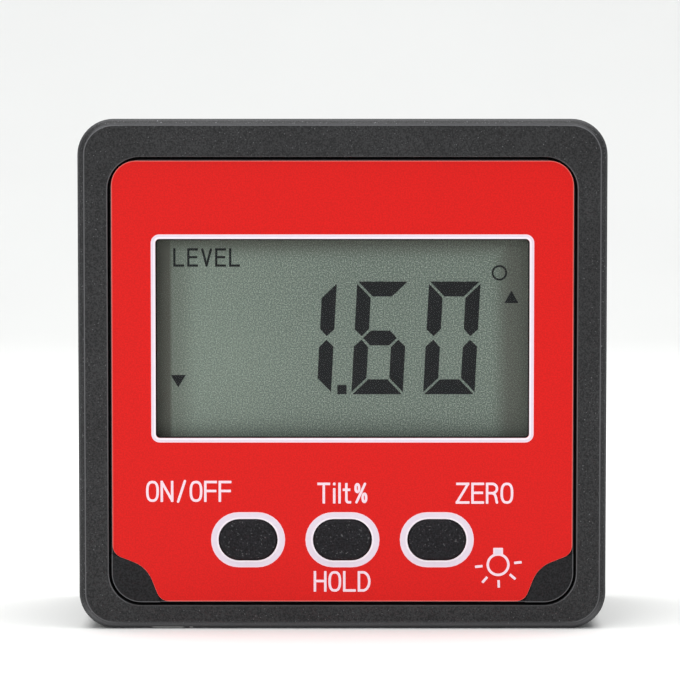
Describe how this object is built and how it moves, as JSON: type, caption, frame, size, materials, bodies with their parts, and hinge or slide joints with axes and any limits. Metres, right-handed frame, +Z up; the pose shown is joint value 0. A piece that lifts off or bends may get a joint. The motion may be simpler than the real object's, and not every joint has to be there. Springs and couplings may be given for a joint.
{
  "type": "digital inclinometer",
  "caption": "Small square level box with a segment angle display, push buttons on a printed front, a magnetic flat base and a rear battery compartment.",
  "frame": {"origin": "middle of the flat base, on the surface that the box stands on", "axes": "+X to the right along the width, the longest side, +Y from the front face to the back, the shortest side, +Z up"},
  "size_m": [0.06, 0.028, 0.058],
  "materials": {
    "board_laminate": "green solder mask",
    "board_screw_steel": "zinc-plated steel",
    "button_moulding": "matt black",
    "cell_jacket": "steel can in a printed sleeve",
    "chip_resin": "black moulded resin with tinned leads",
    "contact_nickel": "nickel-plated spring steel",
    "cover_moulding": "spark-textured black moulding",
    "crystal_metal": "nickel-plated can",
    "display_glass": "thin glass with clear electrodes",
    "frame_coat": "die-cast, fine-textured black powder coat",
    "guide_acrylic": "milky acrylic",
    "holder_moulding": "white moulding",
    "label_print": "screen-printed film with a fine velvet texture, red with white lines",
    "lamp_package": "white side lamp",
    "lens_clear": "clear acrylic",
    "magnet_nickel": "nickel-plated magnet",
    "panel_moulding": "spark-textured black moulding",
    "polariser_film": "grey-green polarising film",
    "screw_steel": "blackened steel",
    "small_part_ceramic": "ceramic chips with tinned ends",
    "strip_rubber": "layered silicone rubber",
    "switch_case": "black switch body with tinned legs",
    "switch_plunger": "moulded plunger"
  },
  "bodies": {
    "housing": {"backlight_guide": "guide_acrylic", "backlight_lamp_lower": "lamp_package", "backlight_lamp_upper": "lamp_package", "base_magnet_1": "magnet_nickel", "base_magnet_2": "magnet_nickel", "base_magnet_3": "magnet_nickel", "base_magnet_4": "magnet_nickel", "battery_lower": "cell_jacket", "battery_upper": "cell_jacket", "board_capacitors": "small_part_ceramic", "board_resistors": "small_part_ceramic", "board_screw_1": "board_screw_steel", "board_screw_2": "board_screw_steel", "board_screw_3": "board_screw_steel", "board_screw_4": "board_screw_steel", "circuit_board": "board_laminate", "contact_spring_lower": "contact_nickel", "contact_spring_upper": "contact_nickel", "cover_screw_1": "screw_steel", "cover_screw_2": "screw_steel", "cover_screw_3": "screw_steel", "cover_screw_4": "screw_steel", "crystal_can": "crystal_metal", "display_contact_strip": "strip_rubber", "display_front_glass": "display_glass", "display_front_polariser": "polariser_film", "display_holder": "holder_moulding", "display_rear_glass": "display_glass", "display_rear_polariser": "polariser_film", "face_label": "label_print", "front_panel": "panel_moulding", "housing_frame": "frame_coat", "microcontroller": "chip_resin", "rear_cover": "cover_moulding", "switch_body_hold": "switch_case", "switch_body_on_off": "switch_case", "switch_body_zero": "switch_case", "terminal_bridge": "contact_nickel", "terminal_negative": "contact_nickel", "terminal_positive": "contact_nickel", "tilt_sensor": "chip_resin", "window_lens": "lens_clear"},
    "button_on_off": {"button_on_off": "button_moulding", "switch_plunger_on_off": "switch_plunger"},
    "button_hold": {"button_hold": "button_moulding", "switch_plunger_hold": "switch_plunger"},
    "button_zero": {"button_zero": "button_moulding", "switch_plunger_zero": "switch_plunger"},
    "door": {"battery_door": "cover_moulding"}
  },
  "joints": [
    {"name": "press_on_off", "type": "slide", "parent": "housing", "child": "button_on_off", "axis": [0, 1, 0], "range_m": [0, 0.0003], "stiffness_N_per_m": 4500},
    {"name": "press_hold", "type": "slide", "parent": "housing", "child": "button_hold", "axis": [0, 1, 0], "range_m": [0, 0.0003], "stiffness_N_per_m": 4500},
    {"name": "press_zero", "type": "slide", "parent": "housing", "child": "button_zero", "axis": [0, 1, 0], "range_m": [0, 0.0003], "stiffness_N_per_m": 4500},
    {"name": "door_swing", "type": "hinge", "parent": "housing", "child": "door", "pos_m": [0, 0.01315, 0.0402], "axis": [1, 0, 0], "range_deg": [0, 75]}
  ]
}
